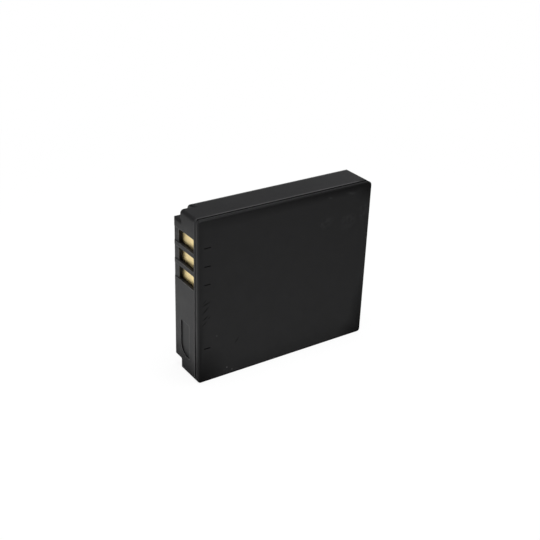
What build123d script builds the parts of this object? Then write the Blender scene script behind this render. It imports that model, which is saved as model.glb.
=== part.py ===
from build123d import *
import os

# Slim camera battery standing on its long narrow edge, in millimetres with +Z up.
# The origin lies under the middle of the pack. The cover faces -Y and the contact end faces -X.

# Outer size
LENGTH = 41.6
DEPTH = 9.5
HEIGHT = 36.0

# Case walls and outer edges
CONTACT_WALL = 0.9
FAR_WALL = 0.9
SIDE_WALL = 0.8
BACK_WALL = 0.7
BACK_EDGE_RADIUS = 1.85
INNER_EDGE_RADIUS = 1.0
CORNER_RADIUS = 0.75
UPRIGHT_EDGE_RADIUS = 0.3

# Cover plate, flush with the case, with a groove between the two all round
COVER_THICKNESS = 1.35
COVER_EDGE_RADIUS = 0.4
GROOVE_WIDTH = 0.4
GROOVE_DEPTH = 0.5
SEAM_BEVEL = 0.06
LIP_DEPTH = 0.8
LIP_THICKNESS = 0.5
LIP_CLEARANCE = 0.1

# Notches in the two back corners of the contact end
NOTCH_LENGTH = 3.0
NOTCH_DEPTH = 2.7
NOTCH_TOP_HEIGHT = 2.4
NOTCH_BOTTOM_HEIGHT = 2.6
NOTCH_CORNER_RADIUS = 0.3

# Contact windows, counted down from the top notch, and the shallow channels behind them
CONTACT_NAMES = ["contact_positive", "contact_sense", "contact_negative"]
WINDOW_BELOW_NOTCH = 1.9
WINDOW_HEIGHT = 3.05
WINDOW_RIB = 0.9
WINDOW_FRONT_GAP = 0.3
WINDOW_BACK_GAP = 1.75
WINDOW_CORNER_RADIUS = 0.25
CHANNEL_DEPTH = 0.15

# Shallow pocket low on the contact end
POCKET_BOTTOM = 3.95
POCKET_HEIGHT = 7.85
POCKET_FRONT_GAP = 2.3
POCKET_WIDTH = 3.35
POCKET_DEPTH = 0.2
POCKET_SWEEP_RADIUS = 2.5

# Tick marks on the cover, one level with each window and one with the pocket
TICK_LENGTH = 1.45
TICK_WIDTH = 0.22
TICK_DEPTH = 0.18
TICK_FROM_END = 2.1

# Contact board and what it carries
CONTACT_THICKNESS = 0.3
CONTACT_MARGIN = 0.2
CONTACT_CORNER_RADIUS = 0.3
BOARD_THICKNESS = 0.8
BOARD_CLEARANCE = 0.2
BOARD_CORNER_RADIUS = 0.4
BAY_DEPTH = 2.3
POST_THICKNESS = 0.7
POST_REACH = 1.0
POST_CLEARANCE = 0.05

# Sealed cell, its padding and its terminal
PAD_THICKNESS = 0.2
PAD_LENGTH = 26.0
PAD_HEIGHT = 24.0
CUSHION_THICKNESS = 1.0
CUSHION_HEIGHT = 22.0
CUSHION_GAP = 0.3
CELL_CLEARANCE = 0.15
CELL_EDGE_RADIUS = 3.0
CELL_FLOOR_RADIUS = 0.6
GASKET_RADIUS = 1.7
GASKET_THICKNESS = 0.45
RIVET_RADIUS = 1.2
RIVET_HEIGHT = 0.4
RIVET_SEAT = 0.15
SHEET_THICKNESS = 0.2
SHEET_INSET = 0.5
SHEET_CLEARANCE = 0.15

# Thermal cutoff and nickel strips
CUTOFF_LENGTH = 4.6
CUTOFF_WIDTH = 3.0
CUTOFF_HEIGHT = 1.0
CUTOFF_ABOVE_RIVET = 3.6
STRIP_THICKNESS = 0.15
STRIP_WIDTH = 2.4
STRIP_BEND = 0.25
STRIP_FOOT = 2.2
STRIP_RUN = 1.4
POSITIVE_ABOVE_POST = 0.8

# Board components, each as height along Z, width along Y and rise off the board
CHIP_SIZE = (2.9, 1.6, 1.1)
SWITCH_SIZE = (3.0, 4.0, 1.0)
SMALL_SIZE = (1.6, 0.8, 0.6)
LEAD_COUNT = 3
LEAD_WIDTH = 0.4
LEAD_REACH = 0.6
LEAD_THICKNESS = 0.2
COMPONENT_GAP = 0.6

# How far a cutter runs past the face that it opens, and how much of a thin width a rounding may take
CUT_MARGIN = 1.0
ROUND_SHARE = 0.49

# Planes that the pieces share
END_X = -LENGTH / 2
FAR_X = LENGTH / 2
FRONT_Y = -DEPTH / 2
BACK_Y = DEPTH / 2
SEAM_Y = FRONT_Y + COVER_THICKNESS
GROOVE_Y = SEAM_Y - GROOVE_WIDTH
INNER_BACK_Y = BACK_Y - BACK_WALL
INNER_END_X = END_X + CONTACT_WALL
INNER_FAR_X = FAR_X - FAR_WALL
INNER_BOTTOM = SIDE_WALL
INNER_TOP = HEIGHT - SIDE_WALL
NOTCH_X = END_X + NOTCH_LENGTH
NOTCH_Y = BACK_Y - NOTCH_DEPTH
NOTCH_TOP = HEIGHT - NOTCH_TOP_HEIGHT
BOARD_X = INNER_END_X + CONTACT_THICKNESS
COMPONENT_X = BOARD_X + BOARD_THICKNESS
BOARD_BOTTOM = NOTCH_BOTTOM_HEIGHT + SIDE_WALL + BOARD_CLEARANCE
BOARD_TOP = NOTCH_TOP - SIDE_WALL - BOARD_CLEARANCE
HEADER_X = max(COMPONENT_X + BAY_DEPTH, NOTCH_X + SIDE_WALL + CELL_CLEARANCE)
CELL_FAR_X = INNER_FAR_X - CUSHION_THICKNESS
CELL_FRONT_Y = SEAM_Y + PAD_THICKNESS
CELL_BACK_Y = INNER_BACK_Y - PAD_THICKNESS
CELL_BOTTOM = INNER_BOTTOM + CELL_CLEARANCE
CELL_TOP = INNER_TOP - CELL_CLEARANCE
CELL_MIDDLE_X = (HEADER_X + CELL_FAR_X) / 2
CELL_MIDDLE_Y = (CELL_FRONT_Y + CELL_BACK_Y) / 2
CELL_MIDDLE_Z = (CELL_BOTTOM + CELL_TOP) / 2
SHEET_X = HEADER_X - SHEET_THICKNESS
POSITIVE_RISER = BOARD_BOTTOM + POST_REACH + POSITIVE_ABOVE_POST + STRIP_FOOT
POSITIVE_TOP = POSITIVE_RISER + STRIP_THICKNESS / 2 + STRIP_FOOT
RIVET_FACE_X = HEADER_X - GASKET_THICKNESS + RIVET_SEAT - RIVET_HEIGHT
WINDOW_TOP = NOTCH_TOP - WINDOW_BELOW_NOTCH
WINDOW_PITCH = WINDOW_HEIGHT + WINDOW_RIB
WINDOW_LEVELS = [WINDOW_TOP - WINDOW_HEIGHT / 2 - WINDOW_PITCH * row for row in range(len(CONTACT_NAMES))]
WINDOW_FRONT_Y = SEAM_Y + WINDOW_FRONT_GAP
WINDOW_BACK_Y = BACK_Y - WINDOW_BACK_GAP


def between(low, high, radius=0):
    """A rectangle sketch from its low corner to its high corner, with its corners rounded if asked."""
    middle = Pos((low[0] + high[0]) / 2, (low[1] + high[1]) / 2)
    width = high[0] - low[0]
    height = high[1] - low[1]
    if radius:
        return middle * RectangleRounded(width, height, radius)
    return middle * Rectangle(width, height)


def along_x(sketch, start, end):
    """Extrude a sketch drawn in Y and Z from one X to another."""
    return extrude(Plane.YZ.offset(start) * sketch, end - start)


def along_y(sketch, start, end):
    """Extrude a sketch drawn in X and Z from one Y to another."""
    return extrude(Plane.XZ.offset(-end) * sketch, end - start)


def along_z(sketch, start, end):
    """Extrude a sketch drawn in X and Y from one Z to another."""
    return extrude(Plane.XY.offset(start) * sketch, end - start)


def front_outline(inset):
    """The outline that the case and the cover share, seen from the front and drawn in by an inset."""
    radius = max(0, CORNER_RADIUS - inset)
    return between((END_X + inset, inset), (FAR_X - inset, HEIGHT - inset), radius)


def case_body():
    """The case before it is hollowed, as the meeting of its side, front and plan outlines."""
    side = between((SEAM_Y, 0), (BACK_Y, HEIGHT))
    side = fillet(side.vertices().group_by(Axis.X)[-1], BACK_EDGE_RADIUS)
    plan = between((END_X, SEAM_Y), (FAR_X, BACK_Y))
    plan = fillet(plan.vertices().group_by(Axis.Y)[-1], UPRIGHT_EDGE_RADIUS)
    body = along_x(side, END_X, FAR_X)
    body &= along_z(plan, 0, HEIGHT)
    body &= along_y(front_outline(0), SEAM_Y, BACK_Y)
    rim = body.faces().sort_by(Axis.Y)[0]
    return chamfer(rim.edges(), SEAM_BEVEL)


def notches(wall):
    """The two corner notches of the contact end, grown by a wall."""
    front = NOTCH_Y - wall
    back = BACK_Y + CUT_MARGIN
    lower = between((front, -CUT_MARGIN), (back, NOTCH_BOTTOM_HEIGHT + wall), NOTCH_CORNER_RADIUS)
    upper = between((front, NOTCH_TOP - wall), (back, HEIGHT + CUT_MARGIN), NOTCH_CORNER_RADIUS)
    return along_x(lower + upper, END_X - CUT_MARGIN, NOTCH_X + wall)


def case_cavity():
    """The room for the board and the cell, clear of the walls round the notches."""
    section = between((SEAM_Y, INNER_BOTTOM), (INNER_BACK_Y, INNER_TOP))
    section = fillet(section.vertices().group_by(Axis.X)[-1], INNER_EDGE_RADIUS)
    return along_x(section, INNER_END_X, INNER_FAR_X) - notches(SIDE_WALL)


def contact_windows():
    """The windows through the contact wall, with a shallow channel from each to the back edge."""
    cutters = []
    for level in WINDOW_LEVELS:
        low = level - WINDOW_HEIGHT / 2
        high = level + WINDOW_HEIGHT / 2
        window = between((WINDOW_FRONT_Y, low), (WINDOW_BACK_Y, high), WINDOW_CORNER_RADIUS)
        channel = between((WINDOW_BACK_Y - WINDOW_CORNER_RADIUS, low), (BACK_Y + CUT_MARGIN, high))
        cutters.append(along_x(window, END_X - CUT_MARGIN, INNER_END_X + CONTACT_THICKNESS))
        cutters.append(along_x(channel, END_X - CUT_MARGIN, END_X + CHANNEL_DEPTH))
    return cutters


def end_pocket():
    """The shallow pocket in the contact end, swept round at its lower back corner."""
    front = SEAM_Y + POCKET_FRONT_GAP
    outline = between((front, POCKET_BOTTOM), (front + POCKET_WIDTH, POCKET_BOTTOM + POCKET_HEIGHT))
    corner = outline.vertices().group_by(Axis.Y)[0].sort_by(Axis.X)[-1]
    outline = fillet(corner, POCKET_SWEEP_RADIUS)
    return along_x(outline, END_X - CUT_MARGIN, END_X + POCKET_DEPTH)


def board_posts():
    """Two posts on the back wall that hold the board's ends against the contact wall."""
    start = COMPONENT_X + POST_CLEARANCE
    posts = []
    for low, high in (
        (INNER_BOTTOM, BOARD_BOTTOM + POST_REACH),
        (BOARD_TOP - POST_REACH, INNER_TOP),
    ):
        section = between((start, low), (start + POST_THICKNESS, high))
        posts.append(along_y(section, SEAM_Y + LIP_DEPTH + LIP_CLEARANCE, INNER_BACK_Y))
    return posts


def rear_case():
    """The moulded tray, with its contact end and the posts behind the board."""
    case = case_body() - case_cavity()
    case += board_posts()
    case -= notches(0)
    case -= contact_windows()
    return case - end_pocket()


def tick_marks():
    """Short shallow marks on the cover, level with the windows and the pocket."""
    pocket_level = POCKET_BOTTOM + POCKET_HEIGHT / 2
    tick = SlotOverall(TICK_LENGTH, TICK_WIDTH)
    marks = [Pos(END_X + TICK_FROM_END, level) * tick for level in WINDOW_LEVELS + [pocket_level]]
    return [along_y(mark, FRONT_Y - CUT_MARGIN, FRONT_Y + TICK_DEPTH) for mark in marks]


def cover_lip():
    """The locating lip inside the case: a U along the top, the far end and the bottom."""
    gap = LIP_CLEARANCE
    inner = LIP_CLEARANCE + LIP_THICKNESS
    lip = between((INNER_END_X + gap, INNER_BOTTOM + gap), (INNER_FAR_X - gap, INNER_TOP - gap))
    lip -= between((END_X, INNER_BOTTOM + inner), (INNER_FAR_X - inner, INNER_TOP - inner))
    return along_y(lip, SEAM_Y, SEAM_Y + LIP_DEPTH)


def front_cover():
    """The cover plate with its rounded face, the seat behind its groove, its lip and its tick marks."""
    plate = along_y(front_outline(0), FRONT_Y, GROOVE_Y)
    plate = fillet(plate.faces().sort_by(Axis.Y)[0].edges(), COVER_EDGE_RADIUS)
    plate = chamfer(plate.faces().sort_by(Axis.Y)[-1].edges(), SEAM_BEVEL)
    plate += along_y(front_outline(GROOVE_DEPTH), GROOVE_Y, SEAM_Y)
    plate += cover_lip()
    return plate - tick_marks()


def contact_plate(level):
    """One gold contact behind its window, lying on the board."""
    margin = CONTACT_MARGIN
    low = (WINDOW_FRONT_Y - margin, level - WINDOW_HEIGHT / 2 - margin)
    high = (WINDOW_BACK_Y + margin, level + WINDOW_HEIGHT / 2 + margin)
    return along_x(between(low, high, CONTACT_CORNER_RADIUS), INNER_END_X, BOARD_X)


def protection_board():
    """The circuit board behind the contacts."""
    low = (SEAM_Y + BOARD_CLEARANCE, BOARD_BOTTOM)
    high = (INNER_BACK_Y - BOARD_CLEARANCE, BOARD_TOP)
    return along_x(between(low, high, BOARD_CORNER_RADIUS), BOARD_X, COMPONENT_X)


def chip_body(size, y, z):
    """A leadless component lying on the inner face of the board."""
    height, width, rise = size
    section = Pos(y, z) * Rectangle(width, height)
    return along_x(section, COMPONENT_X, COMPONENT_X + rise)


def leaded_chip(size, y, z):
    """A chip with a row of flat leads along each of its long sides."""
    height, width, rise = size
    chip = chip_body(size, y, z)
    pitch = height / LEAD_COUNT
    for row in range(LEAD_COUNT):
        level = z + pitch * (row - (LEAD_COUNT - 1) / 2)
        leads = Pos(y, level) * Rectangle(width + 2 * LEAD_REACH, LEAD_WIDTH)
        chip += along_x(leads, COMPONENT_X, COMPONENT_X + LEAD_THICKNESS)
    return chip


def cell_can():
    """The sealed cell: a drawn can with rounded sides and a flat header at the contact end."""
    radius = min(CELL_EDGE_RADIUS, ROUND_SHARE * (CELL_BACK_Y - CELL_FRONT_Y))
    section = between((CELL_FRONT_Y, CELL_BOTTOM), (CELL_BACK_Y, CELL_TOP), radius)
    can = along_x(section, HEADER_X, CELL_FAR_X)
    return fillet(can.faces().sort_by(Axis.X)[-1].edges(), CELL_FLOOR_RADIUS)


def terminal_gasket():
    """The insulating washer on the header, hollowed to seat the rivet."""
    outer = Pos(CELL_MIDDLE_Y, CELL_MIDDLE_Z) * Circle(GASKET_RADIUS)
    seat = Pos(CELL_MIDDLE_Y, CELL_MIDDLE_Z) * Circle(RIVET_RADIUS)
    start = HEADER_X - GASKET_THICKNESS
    return along_x(outer, start, HEADER_X) - along_x(seat, start - CUT_MARGIN, start + RIVET_SEAT)


def terminal_rivet():
    """The negative terminal, seated in its gasket."""
    head = Pos(CELL_MIDDLE_Y, CELL_MIDDLE_Z) * Circle(RIVET_RADIUS)
    return along_x(head, RIVET_FACE_X, RIVET_FACE_X + RIVET_HEIGHT)


def header_sheet():
    """The insulating sheet over the header, open at the terminal and at the positive weld."""
    low = (CELL_FRONT_Y + SHEET_INSET, CELL_BOTTOM + SHEET_INSET)
    high = (CELL_BACK_Y - SHEET_INSET, CELL_TOP - SHEET_INSET)
    radius = min(CELL_EDGE_RADIUS, ROUND_SHARE * (high[0] - low[0]))
    sheet = between(low, high, radius)
    sheet -= Pos(CELL_MIDDLE_Y, CELL_MIDDLE_Z) * Circle(GASKET_RADIUS + SHEET_CLEARANCE)
    half_width = STRIP_WIDTH / 2 + SHEET_CLEARANCE
    weld_low = (CELL_MIDDLE_Y - half_width, POSITIVE_RISER - STRIP_THICKNESS / 2 - SHEET_CLEARANCE)
    weld_high = (CELL_MIDDLE_Y + half_width, POSITIVE_TOP + SHEET_CLEARANCE)
    sheet -= between(weld_low, weld_high)
    return along_x(sheet, SHEET_X, HEADER_X)


def strip(points):
    """A flat nickel strip, bent along a line drawn in X and Z."""
    line = FilletPolyline(*points, radius=STRIP_BEND) if len(points) > 2 else Polyline(*points)
    section = trace(line, STRIP_THICKNESS)
    return along_y(section, CELL_MIDDLE_Y - STRIP_WIDTH / 2, CELL_MIDDLE_Y + STRIP_WIDTH / 2)


def positive_strip():
    """The strip from the header to the board, below the terminal and above the lower post."""
    half = STRIP_THICKNESS / 2
    return strip(
        [
            (HEADER_X - half, POSITIVE_TOP),
            (HEADER_X - half, POSITIVE_RISER),
            (COMPONENT_X + half, POSITIVE_RISER),
            (COMPONENT_X + half, POSITIVE_RISER - STRIP_FOOT),
        ]
    )


def cutoff_level(share):
    """A level on the thermal cutoff: 0 at its lower end and 1 at its upper end."""
    return CELL_MIDDLE_Z + CUTOFF_ABOVE_RIVET + share * CUTOFF_LENGTH


def rivet_strip():
    """The straight strip from the terminal to the lower end of the thermal cutoff."""
    line_x = RIVET_FACE_X - STRIP_THICKNESS / 2
    return strip([(line_x, CELL_MIDDLE_Z - RIVET_RADIUS), (line_x, cutoff_level(0))])


def thermal_cutoff():
    """The thermal cutoff in the negative line, lying on the header sheet."""
    middle = Pos(CELL_MIDDLE_Y, cutoff_level(0.5))
    section = middle * Rectangle(CUTOFF_WIDTH, CUTOFF_LENGTH)
    return along_x(section, SHEET_X - CUTOFF_HEIGHT, SHEET_X)


def negative_strip():
    """The strip from the upper end of the thermal cutoff to the board."""
    line_x = RIVET_FACE_X - STRIP_THICKNESS / 2
    board_x = COMPONENT_X + STRIP_THICKNESS / 2
    riser = cutoff_level(1) + STRIP_RUN
    return strip(
        [
            (line_x, cutoff_level(1)),
            (line_x, riser),
            (board_x, riser),
            (board_x, riser + STRIP_FOOT),
        ]
    )


def cell_pad(low_y):
    """A thin adhesive pad on one of the cell's broad faces."""
    outline = Pos(CELL_MIDDLE_X, CELL_MIDDLE_Z) * Rectangle(PAD_LENGTH, PAD_HEIGHT)
    return along_y(outline, low_y, low_y + PAD_THICKNESS)


def end_cushion():
    """The foam strip between the cell and the far wall, behind the cover's lip."""
    low = (SEAM_Y + LIP_DEPTH + CUSHION_GAP, CELL_MIDDLE_Z - CUSHION_HEIGHT / 2)
    high = (CELL_BACK_Y, CELL_MIDDLE_Z + CUSHION_HEIGHT / 2)
    return along_x(between(low, high), CELL_FAR_X, INNER_FAR_X)


def board_components():
    """The components on the board, stacked upwards between the two strips."""
    middle_y = (SEAM_Y + INNER_BACK_Y) / 2
    column = SMALL_SIZE[1] / 2 + COMPONENT_GAP
    switch_z = CELL_MIDDLE_Z - SWITCH_SIZE[0] / 2 - COMPONENT_GAP
    chip_z = CELL_MIDDLE_Z + CHIP_SIZE[0] / 2 + COMPONENT_GAP
    low_z = chip_z + CHIP_SIZE[0] / 2 + COMPONENT_GAP + SMALL_SIZE[0] / 2
    high_z = low_z + SMALL_SIZE[0] + COMPONENT_GAP
    return {
        "power_switch": leaded_chip(SWITCH_SIZE, middle_y, switch_z),
        "protection_chip": leaded_chip(CHIP_SIZE, middle_y, chip_z),
        "filter_capacitor": chip_body(SMALL_SIZE, middle_y - column, low_z),
        "filter_resistor": chip_body(SMALL_SIZE, middle_y + column, low_z),
        "sense_resistor": chip_body(SMALL_SIZE, middle_y - column, high_z),
        "thermistor": chip_body(SMALL_SIZE, middle_y + column, high_z),
    }


pieces = {
    "rear_case": rear_case(),
    "front_cover": front_cover(),
    "protection_board": protection_board(),
    "cell_can": cell_can(),
    "terminal_gasket": terminal_gasket(),
    "terminal_rivet": terminal_rivet(),
    "header_sheet": header_sheet(),
    "positive_strip": positive_strip(),
    "rivet_strip": rivet_strip(),
    "thermal_cutoff": thermal_cutoff(),
    "negative_strip": negative_strip(),
    "front_pad": cell_pad(SEAM_Y),
    "back_pad": cell_pad(CELL_BACK_Y),
    "end_cushion": end_cushion(),
}
for name, level in zip(CONTACT_NAMES, WINDOW_LEVELS):
    pieces[name] = contact_plate(level)
pieces.update(board_components())

os.makedirs("parts", exist_ok=True)
for name, piece in pieces.items():
    export_step(piece, f"parts/{name}.step")
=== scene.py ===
import math

import bpy
from mathutils import Matrix, Vector


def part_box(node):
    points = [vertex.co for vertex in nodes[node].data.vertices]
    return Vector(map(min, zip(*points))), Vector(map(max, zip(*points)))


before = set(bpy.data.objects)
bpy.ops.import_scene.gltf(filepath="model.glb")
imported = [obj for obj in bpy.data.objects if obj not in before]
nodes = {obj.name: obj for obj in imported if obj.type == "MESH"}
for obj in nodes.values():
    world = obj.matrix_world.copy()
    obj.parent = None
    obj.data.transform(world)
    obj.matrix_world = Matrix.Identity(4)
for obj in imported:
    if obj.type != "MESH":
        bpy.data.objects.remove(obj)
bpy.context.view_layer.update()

MM = 0.001

# The camera as fitted to the photograph's edges: angles in degrees, lens and sensor in millimetres
CAMERA_AZIMUTH = -34.488
CAMERA_ELEVATION = 27.153
CAMERA_ROLL = 2.045
CAMERA_LENS = 64.74
CAMERA_SENSOR = 36.0
CAMERA_PLACE = Vector((-102.544, -147.939, 110.89)) * MM
CAMERA_NEAR = 0.005
CAMERA_FAR = 50.0

# The floor in metres. At the pack it is partly white to camera rays and plain paper to mirrored ones.
# Between two distances from the pack it turns fully white to both.
FLOOR_SIZE = 6.0
FLOOR_COLOUR = (0.86, 0.86, 0.86)
FLOOR_WHITE_SHARE = 0.92
FLOOR_MIRRORED_SHARE = 0.0
FLOOR_WHITE_FROM = 0.06
FLOOR_WHITE_TO = 0.16

# The world: its light, and the sines of the elevations between which it turns from white to dim
# for mirrored rays
WORLD_COLOUR = (1.0, 1.0, 1.0)
WORLD_LIGHT = 0.11
SKY_WHITE_TO = 0.03
SKY_DIM_FROM = 0.31

# Lamps: place and size in millimetres, power in watts
LAMP_TARGET = (0.0, 0.0, 18.0)
LAMPS = {
    "key_lamp": ((2.0, -25.0, 400.0), 180.0, 2.2),
    "back_lamp": ((370.0, 230.0, 190.0), 220.0, 0.075),
}

# Marks on the cover in millimetres: X, Z, half length, half width and angle above the level in degrees
SCRATCHES = (
    (-18.96, 18.04, 1.40, 0.22, 21.0),
    (-19.10, 16.65, 1.50, 0.22, 43.0),
    (-19.15, 14.90, 1.20, 0.20, 36.0),
    (-19.45, 13.65, 1.20, 0.19, 39.0),
    (-19.35, 18.62, 0.90, 0.13, 44.0),
    (-18.30, 14.84, 0.60, 0.13, 43.0),
    (-11.76, 7.72, 1.05, 0.16, 52.0),
)
STREAKS = (
    (15.4, 34.5, 1.7, 0.45, -14.0),
    (10.1, 34.5, 0.8, 0.3, -14.0),
)
SMUDGES = (
    (9.2, 29.2, 2.2, 1.6, 20.0),
    (15.1, 28.3, 2.6, 2.2, 30.0),
    (18.9, 29.7, 1.5, 2.4, 0.0),
)
SPECKS = (
    (-16.49, 10.10, 0.11, 0.11, 0.0),
    (-14.04, 1.91, 0.18, 0.18, 0.0),
    (-12.82, 1.07, 0.16, 0.16, 0.0),
)
# Corners and borders of the cover darkened as painted shade
SHADED_CORNERS = (
    (-20.8, 0.0, 7.5, 9.6, 0.0),
    (20.8, 0.0, 9.0, 7.0, 0.0),
    (20.8, 0.0, 5.0, 20.0, 0.0),
    (20.8, 36.0, 7.0, 6.0, 0.0),
)
# Where the edge wear and painted edge highlight are kept off the moulded ticks, in the same terms
TICK_RIMS = (
    (-18.80, 30.18, 1.2, 0.3, 0.0),
    (-18.75, 26.23, 1.2, 0.3, 0.0),
    (-18.75, 22.28, 1.2, 0.3, 0.0),
    (-18.80, 7.88, 1.2, 0.3, 0.0),
)
# Corners of the case darkened as painted shade, in the same terms: at its far top, and round its top notch
FAR_TOP_CORNER = ((20.8, 36.0, 3.0, 1.5, 0.0),)
NOTCH_CORNERS = (
    (-17.8, 36.0, 0.8, 0.8, 0.0),
    (-20.8, 36.0, 1.0, 1.0, 0.0),
    (-20.8, 33.6, 0.9, 0.9, 0.0),
)

# A zone is a stretch along one direction: its start and end in millimetres, and the share at each.
# Zones of the case, with depths from its front and lengths from the contact end
CONTACT_END = (0.4, 1.0, 1.0, 0.0)
# Depths over which the painted shade at the far top corner and round the notch holds
CORNER_DEPTH = (0.3, 1.2, 1.0, 0.0)
NOTCH_DEPTH = (4.8, 5.3, 0.0, 1.0)
# A painted highlight along the case's rim at the seam
RIM_HIGHLIGHT_START = (0.02, 0.08, 0.0, 1.0)
RIM_HIGHLIGHT_DEPTH = (0.1, 0.5, 0.27, 0.0)
RIM_HIGHLIGHT_LENGTH = (0.6, 6.0, 0.45, 1.0)
RIM_HIGHLIGHT_CORNER_LIMIT = 0.6
# Painted shade on the contact end: darker towards its foot and its head, along a slope with depth
CASE_FOOT = (0.5, 4.9, 0.44, 0.0)
CASE_HEAD = (33.2, 36.2, 0.0, 0.22)
CASE_SHADE_SLOPE = 0.4
CASE_WEAR = (32.8, 33.4, 1.0, 0.1)
# Painted light on the up-facing window sill faces at the contact end, standing for the gold contacts'
# reflection; there the painted shade in hollows is left off
SILL_LENGTH = (0.1, 0.25, 0.0, 1.0)
SILL_HEIGHT = (31.0, 32.0, 1.0, 0.0)
SILL_FACING = (0.5, 0.9, 0.0, 0.8)
SILL_PAINTED_LIGHT = 0.35

# Zones of the cover, measured from its near or far edges
# Painted shade on the cover: darker along its top edge and foot, fully on the face and less further back
COVER_FACE = (0.2, 0.6, 1.0, 0.4)
COVER_TOP = (-2.6, -0.2, 0.0, 1.0)
COVER_TOP_SHARES = (0.3, 0.95)
COVER_FOOT = (0.1, 0.6, 0.9, 0.0)
# A painted highlight along the cover's near rim
COVER_RIM = (0.1, 0.35, 0.1, 0.0)
# Painted shade just inside the near end over its lower part, at the far end, and rising towards the far end
NEAR_END_RISE = (0.2, 0.45, 0.0, 1.0)
NEAR_END_FALL = (0.45, 1.6, 0.75, 0.0)
NEAR_END_HEIGHT = (3.0, 16.0, 1.0, 0.25)
FAR_END = (-0.5, -0.1, 0.0, 1.0)
DRIFT_FROM = -12.0
DRIFT_SHARE = 0.26
COVER_WEAR = 0.6
TICK_LIMIT = 0.2
SMUDGE_SCALE = 1100.0
SMUDGE_RANGE = (0.4, 0.65, 0.0, 0.09)
STREAK_SHARE = 0.09

# Zones of the painted light in the seam groove, which turns it paler above its foot
GROOVE_HALF = 0.2
GROOVE_LIGHT_ACROSS = (0.2, 0.25, 1.0, 0.0)
GROOVE_LIGHT_LENGTH = (0.55, 0.6, 1.0, 0.0)
GROOVE_LIGHT_HEIGHT = (7.0, 12.0, 0.0, 1.0)
GROOVE_LIGHT_SHARE = 0.5

# Noise: the range most of its values lie in, and scales per metre
NOISE_RANGE = (0.3, 0.7)
SPARK_SCALE = 9000.0
PLASTIC_CLOUD_SCALE = 260.0
WEAR_SCALE = 900.0
WEAR_RANGE = (0.35, 0.65, 0.65, 1.2)
STAIN_SCALE = 700.0
SHEET_CLOUD_SCALE = 300.0
PORE_SCALE = 3500.0
PORE_RANGE = (0.1, 0.5, 0.0, 1.0)
FOAM_CLOUD_SCALE = 500.0
COMPONENT_GRAIN_SCALE = 6000.0

# Edges and hollows of the plastics, for edge wear with painted highlights and for painted shade in hollows:
# reach in millimetres, samples, and the ranges that count
EDGE_RADIUS = 0.25
EDGE_SAMPLES = 6
EDGE_RANGE = (0.02, 0.2, 0.0, 1.0)
HOLLOW_REACH = 0.4
HOLLOW_SAMPLES = 8
HOLLOW_RANGE = (0.3, 0.85, 1.0, 0.0)
OPEN_RANGE = (0.7, 0.95, 0.0, 1.0)

# Roughness of the plastics, what hollows and dull zones add to it, and that of foam and components
SATIN = (0.39, 0.45)
HOLLOW_ROUGHNESS = 0.4
DULL_ROUGHNESS = 0.5
FOAM_ROUGHNESS = (0.85, 0.97)
COMPONENT_ROUGHNESS = (0.38, 0.6)

# Relief: depth in millimetres and strength
SPARK_RELIEF = (0.012, 0.6)
METAL_RELIEF = (0.004, 0.5)
FOAM_RELIEF = (0.15, 0.8)
COMPONENT_RELIEF = (0.006, 0.5)
SHEET_RELIEF_STRENGTH = 0.7

# Colours of painted shade and scratches, of edge wear with painted highlights, of painted shade in hollows,
# and of tin
SHADE_AND_SCRATCH_COLOUR = (0.002, 0.002, 0.002)
WEAR_AND_HIGHLIGHT_COLOUR = (0.142, 0.142, 0.145)
HOLLOW_SHADE_COLOUR = (0.0033, 0.0033, 0.0033)
TIN_COLOUR = (0.72, 0.71, 0.69)

# Plastics: deeper and paler colour, and gloss
CASE_PLASTIC = ((0.0075, 0.0075, 0.008), (0.0117, 0.0117, 0.0123), 0.17)
COVER_PLASTIC = ((0.0102, 0.0102, 0.0107), (0.0157, 0.0157, 0.0163), 0.087)

# Metals: pieces, paler and deeper colour, range of roughness, and grain per metre along X, Y and Z
METALS = {
    "contact_gold": (
        ("contact_positive", "contact_sense", "contact_negative"),
        (0.9, 0.74, 0.39), (0.84, 0.67, 0.33), (0.35, 0.45), (9000.0, 1500.0, 12000.0),
    ),
    "can_aluminium": (
        ("cell_can",),
        (0.8, 0.81, 0.82), (0.7, 0.71, 0.73), (0.28, 0.42), (400.0, 9000.0, 9000.0),
    ),
    "terminal_steel": (
        ("terminal_rivet",),
        (0.76, 0.76, 0.74), (0.68, 0.68, 0.66), (0.25, 0.4), (5000.0, 5000.0, 5000.0),
    ),
    "strip_nickel": (
        ("positive_strip", "rivet_strip", "negative_strip"),
        (0.74, 0.72, 0.67), (0.66, 0.64, 0.59), (0.3, 0.45), (6000.0, 9000.0, 800.0),
    ),
}

# Sheets and small mouldings: the same terms, with fibres for grain, and the depth of relief in millimetres
SHEETS = {
    "gasket_plastic": (
        ("terminal_gasket",),
        (0.056, 0.056, 0.066), (0.044, 0.044, 0.054), (0.4, 0.55), (2500.0, 2500.0, 2500.0), 0.004,
    ),
    "sheet_paper": (
        ("header_sheet",),
        (0.76, 0.78, 0.66), (0.68, 0.7, 0.58), (0.7, 0.88), (3000.0, 4000.0, 600.0), 0.02,
    ),
    "cutoff_plastic": (
        ("thermal_cutoff",),
        (0.135, 0.135, 0.145), (0.105, 0.105, 0.115), (0.45, 0.6), (4000.0, 4000.0, 4000.0), 0.008,
    ),
    "pad_tape": (
        ("front_pad", "back_pad"),
        (0.83, 0.83, 0.81), (0.77, 0.77, 0.75), (0.6, 0.8), (900.0, 3000.0, 4000.0), 0.01,
    ),
    "board_laminate": (
        ("protection_board",),
        (0.034, 0.18, 0.08), (0.026, 0.14, 0.06), (0.3, 0.45), (3000.0, 1200.0, 1200.0), 0.005,
    ),
}

# Foam: paler colour and the colour of its pores
FOAM_PALE = (0.22, 0.22, 0.235)
FOAM_DEEP = (0.1, 0.1, 0.105)

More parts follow.
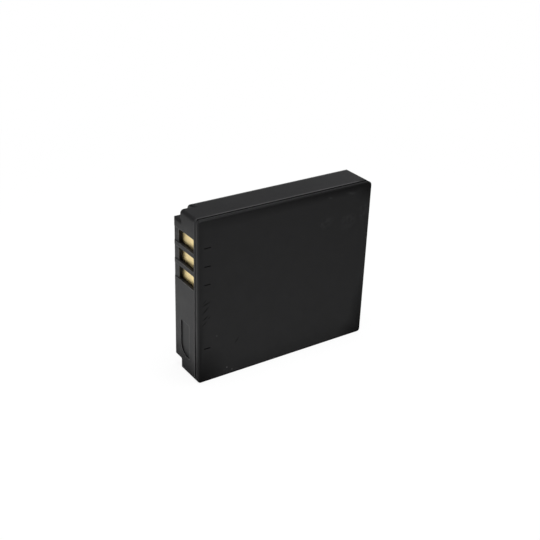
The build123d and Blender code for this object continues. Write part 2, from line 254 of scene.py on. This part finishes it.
# Board components: axis and length in millimetres of their tinned leads or end caps, paler and deeper colour
COMPONENTS = {
    "power_switch": ("Y", 0.6, (0.034, 0.034, 0.037), (0.026, 0.026, 0.029)),
    "protection_chip": ("Y", 0.6, (0.034, 0.034, 0.037), (0.026, 0.026, 0.029)),
    "filter_capacitor": ("Z", 0.3, (0.6, 0.46, 0.33), (0.5, 0.38, 0.27)),
    "filter_resistor": ("Z", 0.3, (0.068, 0.068, 0.079), (0.052, 0.052, 0.061)),
    "sense_resistor": ("Z", 0.3, (0.068, 0.068, 0.079), (0.052, 0.052, 0.061)),
    "thermistor": ("Z", 0.3, (0.22, 0.265, 0.24), (0.18, 0.215, 0.2)),
}


def link(obj):
    """Put a new object in the scene."""
    bpy.context.scene.collection.objects.link(obj)
    return obj


def rgba(rgb):
    """A colour with its alpha of 1."""
    return (*rgb, 1.0)


def make_camera():
    """The photograph's camera: turned by azimuth, elevation and roll, with no shift."""
    azimuth = math.radians(CAMERA_AZIMUTH)
    elevation = math.radians(CAMERA_ELEVATION)
    roll = math.radians(CAMERA_ROLL)
    back = Vector((
        math.sin(azimuth) * math.cos(elevation),
        -math.cos(azimuth) * math.cos(elevation),
        math.sin(elevation),
    ))
    level_right = Vector((math.cos(azimuth), math.sin(azimuth), 0.0))
    level_up = back.cross(level_right)
    right = math.cos(roll) * level_right + math.sin(roll) * level_up
    up = -math.sin(roll) * level_right + math.cos(roll) * level_up
    data = bpy.data.cameras.new("camera")
    data.lens = CAMERA_LENS
    data.sensor_width = CAMERA_SENSOR
    data.clip_start = CAMERA_NEAR
    data.clip_end = CAMERA_FAR
    camera = link(bpy.data.objects.new("camera", data))
    turn = Matrix((right, up, back)).transposed()
    camera.matrix_world = Matrix.Translation(CAMERA_PLACE) @ turn.to_4x4()
    bpy.context.scene.camera = camera


def fill(tree, socket, value):
    """Give a socket a plain value or link it to another node's output."""
    if isinstance(value, bpy.types.NodeSocket):
        tree.links.new(value, socket)
    else:
        socket.default_value = value


def node(tree, kind, inputs=None, **settings):
    """A shader node with its settings. An input is a plain value or another node's output."""
    made = tree.nodes.new(kind)
    for name, value in settings.items():
        setattr(made, name, value)
    for key, value in (inputs or {}).items():
        fill(tree, made.inputs[key], value)
    return made


def calc(tree, operation, first, second=0.0):
    """One sum on two values."""
    return node(tree, "ShaderNodeMath", {0: first, 1: second}, operation=operation).outputs[0]


def largest(tree, values):
    """The largest of several values."""
    result = values[0]
    for value in values[1:]:
        result = calc(tree, "MAXIMUM", result, value)
    return result


def product(tree, values):
    """Several values multiplied together."""
    result = values[0]
    for value in values[1:]:
        result = calc(tree, "MULTIPLY", result, value)
    return result


def spread(tree, value, low, high, to_low, to_high):
    """A value moved from one range to another and kept inside it."""
    limits = {"Value": value, "From Min": low, "From Max": high, "To Min": to_low, "To Max": to_high}
    return node(tree, "ShaderNodeMapRange", limits).outputs["Result"]


def zone(tree, value, limits, origin=0.0):
    """The share that a zone gives at a coordinate, with the zone measured from an origin in metres."""
    start, end, at_start, at_end = limits
    return spread(tree, value, origin + start * MM, origin + end * MM, at_start, at_end)


def blend(tree, share, first, second):
    """A colour between two colours. The sockets are those that a Mix node has for colours."""
    mix = node(tree, "ShaderNodeMix", {"Factor": share}, data_type="RGBA")
    fill(tree, mix.inputs[6], first)
    fill(tree, mix.inputs[7], second)
    return mix.outputs[2]


def noise(tree, place, scale, detail=2.0):
    """Smooth noise from 0 to 1, with its scale per metre."""
    texture = node(tree, "ShaderNodeTexNoise", {"Vector": place, "Scale": scale, "Detail": detail})
    return texture.outputs["Fac"]


def stretched(tree, place, scale):
    """Coordinates scaled apart along the three axes, per metre."""
    return node(tree, "ShaderNodeMapping", {"Vector": place, "Scale": scale}).outputs["Vector"]


def along(tree, place, axis):
    """One coordinate of a place."""
    return node(tree, "ShaderNodeSeparateXYZ", {"Vector": place}).outputs[axis]


def length(tree, vector):
    """The length of a vector."""
    return node(tree, "ShaderNodeVectorMath", {0: vector}, operation="LENGTH").outputs["Value"]


def bump(tree, height, depth, strength):
    """A normal from a height of 0 to 1, its depth in millimetres and its strength."""
    relief = {"Height": height, "Distance": depth * MM, "Strength": strength}
    return node(tree, "ShaderNodeBump", relief).outputs["Normal"]


def new_material(name):
    """An empty node material, its tree and the object's own coordinates in metres."""
    material = bpy.data.materials.new(name)
    material.use_nodes = True
    tree = material.node_tree
    tree.nodes.clear()
    place = node(tree, "ShaderNodeTexCoord").outputs["Object"]
    return material, tree, place


def surface(tree, shader):
    """Send a shader to the material's output."""
    output = node(tree, "ShaderNodeOutputMaterial")
    tree.links.new(shader.outputs[0], output.inputs["Surface"])


def principled(tree, inputs):
    """Send a Principled shader with these inputs to the material's output."""
    surface(tree, node(tree, "ShaderNodeBsdfPrincipled", inputs))


def seen_share(tree, direct, mirrored):
    """How white the background is to a ray: one share for camera rays, one for gloss and glass, else 0."""
    path = node(tree, "ShaderNodeLightPath").outputs
    glossy = largest(tree, [path["Is Glossy Ray"], path["Is Transmission Ray"]])
    return largest(tree, [
        calc(tree, "MULTIPLY", path["Is Camera Ray"], direct),
        calc(tree, "MULTIPLY", glossy, mirrored),
    ])


def make_floor():
    """A plain white floor that keeps a soft shadow."""
    half = FLOOR_SIZE / 2
    corners = [(-half, -half, 0.0), (half, -half, 0.0), (half, half, 0.0), (-half, half, 0.0)]
    mesh = bpy.data.meshes.new("floor")
    mesh.from_pydata(corners, [], [(0, 1, 2, 3)])
    floor = link(bpy.data.objects.new("floor", mesh))
    material, tree, place = new_material("floor_white")
    paper = node(tree, "ShaderNodeBsdfDiffuse", {"Color": rgba(FLOOR_COLOUR)})
    white = node(tree, "ShaderNodeEmission", {"Strength": 1.0})
    far = length(tree, place)
    direct = spread(tree, far, FLOOR_WHITE_FROM, FLOOR_WHITE_TO, FLOOR_WHITE_SHARE, 1.0)
    mirrored = spread(tree, far, FLOOR_WHITE_FROM, FLOOR_WHITE_TO, FLOOR_MIRRORED_SHARE, 1.0)
    share = seen_share(tree, direct, mirrored)
    surface(tree, node(tree, "ShaderNodeMixShader", {0: share, 1: paper.outputs[0], 2: white.outputs[0]}))
    mesh.materials.append(material)


def make_world():
    """A world that lights dimly, white to camera rays and, near the horizon, to mirrored ones."""
    world = bpy.data.worlds.new("white_world")
    world.use_nodes = True
    bpy.context.scene.world = world
    tree = world.node_tree
    sky = tree.nodes["Background"]
    sky.inputs["Color"].default_value = rgba(WORLD_COLOUR)
    height = along(tree, node(tree, "ShaderNodeTexCoord").outputs["Generated"], "Z")
    share = seen_share(tree, 1.0, spread(tree, height, SKY_WHITE_TO, SKY_DIM_FROM, 1.0, 0.0))
    tree.links.new(spread(tree, share, 0.0, 1.0, WORLD_LIGHT, 1.0), sky.inputs["Strength"])


def make_lamps():
    """Soft square lamps that face the pack: one overhead, and a large dim one behind on the right."""
    for name, (place, size, power) in LAMPS.items():
        data = bpy.data.lights.new(name, "AREA")
        data.shape = "SQUARE"
        data.size = size * MM
        data.energy = power
        lamp = link(bpy.data.objects.new(name, data))
        lamp.location = Vector(place) * MM
        aim = (Vector(LAMP_TARGET) - Vector(place)).to_track_quat("-Z", "Y")
        lamp.rotation_euler = aim.to_euler()


def edge_share(tree):
    """1 along the edges of a solid and 0 on its flats."""
    bevel = node(tree, "ShaderNodeBevel", {"Radius": EDGE_RADIUS * MM}, samples=EDGE_SAMPLES)
    flat = node(tree, "ShaderNodeNewGeometry").outputs["Normal"]
    normals = {0: bevel.outputs["Normal"], 1: flat}
    agree = node(tree, "ShaderNodeVectorMath", normals, operation="DOT_PRODUCT").outputs["Value"]
    return spread(tree, calc(tree, "SUBTRACT", 1.0, agree), *EDGE_RANGE)


def spots(tree, place, marks):
    """1 in the middle of each mark, falling to 0 at its rim."""
    shares = []
    for x, z, half_length, half_width, angle in marks:
        local = node(tree, "ShaderNodeMapping", {
            "Vector": place,
            "Location": (x * MM, 0.0, z * MM),
            "Rotation": (0.0, -math.radians(angle), 0.0),
            "Scale": (half_length * MM, 1.0, half_width * MM),
        }, vector_type="TEXTURE").outputs["Vector"]
        shares.append(spread(tree, length(tree, local), 0.0, 1.0, 1.0, 0.0))
    return largest(tree, shares)


def painted_groove_light(tree, place):
    """Painted light in the seam groove at the contact end, above its foot."""
    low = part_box("rear_case")[0]
    middle = low.y - GROOVE_HALF * MM
    across = calc(tree, "ABSOLUTE", calc(tree, "SUBTRACT", along(tree, place, "Y"), middle))
    return product(tree, [
        zone(tree, across, GROOVE_LIGHT_ACROSS),
        zone(tree, along(tree, place, "X"), GROOVE_LIGHT_LENGTH, low.x),
        zone(tree, along(tree, place, "Z"), GROOVE_LIGHT_HEIGHT),
    ])


def case_marks(tree, place):
    """The case's painted highlight along its rim and painted light on its sill faces, its painted shade at
    foot, head and corners, its wear, and where its sill faces stay free of the painted shade in hollows.
    """
    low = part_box("rear_case")[0]
    x = along(tree, place, "X")
    z = along(tree, place, "Z")
    depth = calc(tree, "SUBTRACT", along(tree, place, "Y"), low.y)
    contact_end = zone(tree, x, CONTACT_END, low.x)
    # Painted shade at the far top corner, which also stops the rim highlight there
    corner = product(tree, [spots(tree, place, FAR_TOP_CORNER), zone(tree, depth, CORNER_DEPTH)])
    # Painted highlight along the case's rim at the seam
    rim_highlight = product(tree, [
        zone(tree, depth, RIM_HIGHLIGHT_START),
        zone(tree, depth, RIM_HIGHLIGHT_DEPTH),
        spread(tree, corner, 0.0, RIM_HIGHLIGHT_CORNER_LIMIT, 1.0, 0.0),
        zone(tree, x, RIM_HIGHLIGHT_LENGTH, low.x),
    ])
    # Painted shade: the contact end darkens towards its foot and its head
    slope = calc(tree, "MULTIPLY", depth, CASE_SHADE_SLOPE)
    foot = zone(tree, calc(tree, "SUBTRACT", z, slope), CASE_FOOT)
    head = zone(tree, calc(tree, "ADD", z, slope), CASE_HEAD)
    end = calc(tree, "MULTIPLY", largest(tree, [foot, head]), contact_end)
    # Painted shade round the top notch
    notch = product(tree, [spots(tree, place, NOTCH_CORNERS), zone(tree, depth, NOTCH_DEPTH)])
    facing = node(tree, "ShaderNodeNewGeometry").outputs["True Normal"]
    # Painted light on the window sill faces
    painted_sill_light = product(tree, [
        spread(tree, along(tree, facing, "Z"), *SILL_FACING),
        zone(tree, x, SILL_LENGTH, low.x),
        zone(tree, z, SILL_HEIGHT),
        contact_end,
    ])
    pale = calc(tree, "MAXIMUM", rim_highlight, calc(tree, "MULTIPLY", painted_sill_light, SILL_PAINTED_LIGHT))
    shade_and_scratch_zones = largest(tree, [end, corner, notch])
    return pale, shade_and_scratch_zones, zone(tree, z, CASE_WEAR), painted_sill_light


def cover_marks(tree, place):
    """The cover's pale marks with a painted highlight at its near rim, its painted shade and scratches, its
    wear, and no sill light.
    """
    low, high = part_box("front_cover")
    x = along(tree, place, "X")
    z = along(tree, place, "Z")
    depth = calc(tree, "SUBTRACT", along(tree, place, "Y"), low.y)
    top = product(tree, [
        zone(tree, z, COVER_TOP, high.z),
        spread(tree, x, low.x, high.x, *COVER_TOP_SHARES),
    ])
    near_end = product(tree, [
        zone(tree, x, NEAR_END_RISE, low.x),
        zone(tree, x, NEAR_END_FALL, low.x),
        zone(tree, z, NEAR_END_HEIGHT),
    ])
    # Painted shade along the edges, at the corners and towards the far end, with the real scratches
    shade_and_scratch_zones = largest(tree, [
        spread(tree, x, DRIFT_FROM * MM, high.x, 0.0, DRIFT_SHARE),
        top,
        zone(tree, x, FAR_END, high.x),
        near_end,
        zone(tree, z, COVER_FOOT, low.z),
        spots(tree, place, SHADED_CORNERS),
        spots(tree, place, SCRATCHES),
    ])
    patchy = spread(tree, noise(tree, place, SMUDGE_SCALE, detail=4.0), *SMUDGE_RANGE)
    # A painted highlight at the near rim, with the smudges, streaks and specks
    pale = largest(tree, [
        zone(tree, x, COVER_RIM, low.x),
        calc(tree, "MULTIPLY", spots(tree, place, SMUDGES), patchy),
        calc(tree, "MULTIPLY", spots(tree, place, STREAKS), STREAK_SHARE),
        spots(tree, place, SPECKS),
    ])
    wear = product(tree, [
        spread(tree, x, low.x, high.x, COVER_WEAR, 0.0),
        spread(tree, spots(tree, place, TICK_RIMS), 0.0, TICK_LIMIT, 1.0, 0.0),
    ])
    return pale, calc(tree, "MULTIPLY", shade_and_scratch_zones, zone(tree, depth, COVER_FACE)), wear, 0.0


def black_plastic(name, marks, deep, pale, gloss):
    """Satin moulded plastic: fine spark texture, uneven gloss, paler edges from wear and painted highlights,
    painted shade in hollows, and a piece's own marks with painted light and shade.
    """
    material, tree, place = new_material(name)
    # From the piece: pale marks with painted highlights and light, painted shade with scratches, wear, and
    # sill faces
    light, shade_and_scratches, wear, painted_sill_light = marks(tree, place)
    # Painted light: the seam groove paler above its foot, where the painted shade in hollows is left off
    groove_light = painted_groove_light(tree, place)
    cloud = noise(tree, place, PLASTIC_CLOUD_SCALE, detail=3.0)
    reach = {"Distance": HOLLOW_REACH * MM}
    openness = node(tree, "ShaderNodeAmbientOcclusion", reach, samples=HOLLOW_SAMPLES).outputs["AO"]
    # Paler open edges: edge wear, partly a painted highlight
    edge_wear_and_highlight = product(tree, [
        edge_share(tree),
        spread(tree, openness, *OPEN_RANGE),
        spread(tree, noise(tree, place, WEAR_SCALE), *WEAR_RANGE),
        wear,
    ])
    wear_and_highlights = largest(tree, [edge_wear_and_highlight, light, calc(tree, "MULTIPLY", groove_light, GROOVE_LIGHT_SHARE)])
    # Painted shade: the base darkens and roughens in hollows found by occlusion, except on the sill faces and
    # the seam groove's painted light
    hollow_shade = product(tree, [
        spread(tree, openness, *HOLLOW_RANGE),
        spread(tree, calc(tree, "MAXIMUM", groove_light, painted_sill_light), 0.0, 1.0, 1.0, 0.0),
    ])
    base = blend(tree, cloud, rgba(deep), rgba(pale))
    # Painted shade darkens the base in its zones, and the cover's scratches darken it too
    base = blend(tree, shade_and_scratches, base, rgba(SHADE_AND_SCRATCH_COLOUR))
    # Edge wear, painted highlights, painted light and pale marks lighten the base
    base = blend(tree, wear_and_highlights, base, rgba(WEAR_AND_HIGHLIGHT_COLOUR))
    satin = spread(tree, cloud, *NOISE_RANGE, *SATIN)
    hollow_roughness = calc(tree, "MULTIPLY", hollow_shade, HOLLOW_ROUGHNESS)
    dull_roughness = calc(tree, "MULTIPLY", shade_and_scratches, DULL_ROUGHNESS)
    principled(tree, {
        "Base Color": blend(tree, hollow_shade, base, rgba(HOLLOW_SHADE_COLOUR)),
        "Roughness": calc(tree, "ADD", satin, calc(tree, "ADD", hollow_roughness, dull_roughness)),
        "Specular IOR Level": gloss,
        "Normal": bump(tree, noise(tree, place, SPARK_SCALE), *SPARK_RELIEF),
    })
    return material


def rolled_metal(name, pale, deep, roughness, grain_scale):
    """Metal with a fine grain along one direction and slight stains."""
    material, tree, place = new_material(name)
    grain = noise(tree, stretched(tree, place, grain_scale), 1.0)
    stain = noise(tree, place, STAIN_SCALE, detail=3.0)
    principled(tree, {
        "Base Color": blend(tree, stain, rgba(pale), rgba(deep)),
        "Roughness": spread(tree, grain, *NOISE_RANGE, *roughness),
        "Metallic": 1.0,
        "Normal": bump(tree, grain, *METAL_RELIEF),
    })
    return material


def fibrous(name, pale, deep, roughness, fibre_scale, relief):
    """Sheet, board or small moulding with fibres or flow lines in its colour and relief, and cloudy gloss."""
    material, tree, place = new_material(name)
    fibre = noise(tree, stretched(tree, place, fibre_scale), 1.0, detail=4.0)
    shade = spread(tree, fibre, *NOISE_RANGE, 0.0, 1.0)
    cloud = noise(tree, place, SHEET_CLOUD_SCALE)
    principled(tree, {
        "Base Color": blend(tree, shade, rgba(pale), rgba(deep)),
        "Roughness": spread(tree, cloud, *NOISE_RANGE, *roughness),
        "Normal": bump(tree, fibre, relief, SHEET_RELIEF_STRENGTH),
    })
    return material


def porous(name, pale, deep):
    """Soft foam with darker open pores."""
    material, tree, place = new_material(name)
    cell = node(tree, "ShaderNodeTexVoronoi", {"Vector": place, "Scale": PORE_SCALE}).outputs["Distance"]
    cloud = noise(tree, place, FOAM_CLOUD_SCALE)
    principled(tree, {
        "Base Color": blend(tree, spread(tree, cell, *PORE_RANGE), rgba(deep), rgba(pale)),
        "Roughness": spread(tree, cloud, *NOISE_RANGE, *FOAM_ROUGHNESS),
        "Normal": bump(tree, cell, *FOAM_RELIEF),
    })
    return material


def tinned(name, axis, reach, pale, deep):
    """A component, by its node's name, whose outermost millimetres along one axis are tinned."""
    material, tree, place = new_material(name)
    low, high = (corner["XYZ".index(axis)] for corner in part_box(name))
    away = calc(tree, "ABSOLUTE", calc(tree, "SUBTRACT", along(tree, place, axis), (low + high) / 2))
    tin = calc(tree, "GREATER_THAN", away, (high - low) / 2 - reach * MM)
    grain = noise(tree, place, COMPONENT_GRAIN_SCALE, detail=3.0)
    body = blend(tree, grain, rgba(pale), rgba(deep))
    principled(tree, {
        "Base Color": blend(tree, tin, body, rgba(TIN_COLOUR)),
        "Roughness": spread(tree, grain, *NOISE_RANGE, *COMPONENT_ROUGHNESS),
        "Metallic": tin,
        "Normal": bump(tree, grain, *COMPONENT_RELIEF),
    })
    return material


def dress(material, *names):
    """Give a material to one or more of the CAD nodes."""
    for name in names:
        data = nodes[name].data
        data.materials.clear()
        data.materials.append(material)


def dress_all():
    """Dress the case and the cover, then the metals, the sheets, the foam and the board's components."""
    dress(black_plastic("case_plastic", case_marks, *CASE_PLASTIC), "rear_case")
    dress(black_plastic("cover_plastic", cover_marks, *COVER_PLASTIC), "front_cover")
    for name, (pieces, *looks) in METALS.items():
        dress(rolled_metal(name, *looks), *pieces)
    for name, (pieces, *looks) in SHEETS.items():
        dress(fibrous(name, *looks), *pieces)
    dress(porous("cushion_foam", FOAM_PALE, FOAM_DEEP), "end_cushion")
    for name, looks in COMPONENTS.items():
        dress(tinned(name, *looks), name)


bpy.context.scene.view_settings.view_transform = "Standard"
make_camera()
make_floor()
make_world()
make_lamps()
dress_all()
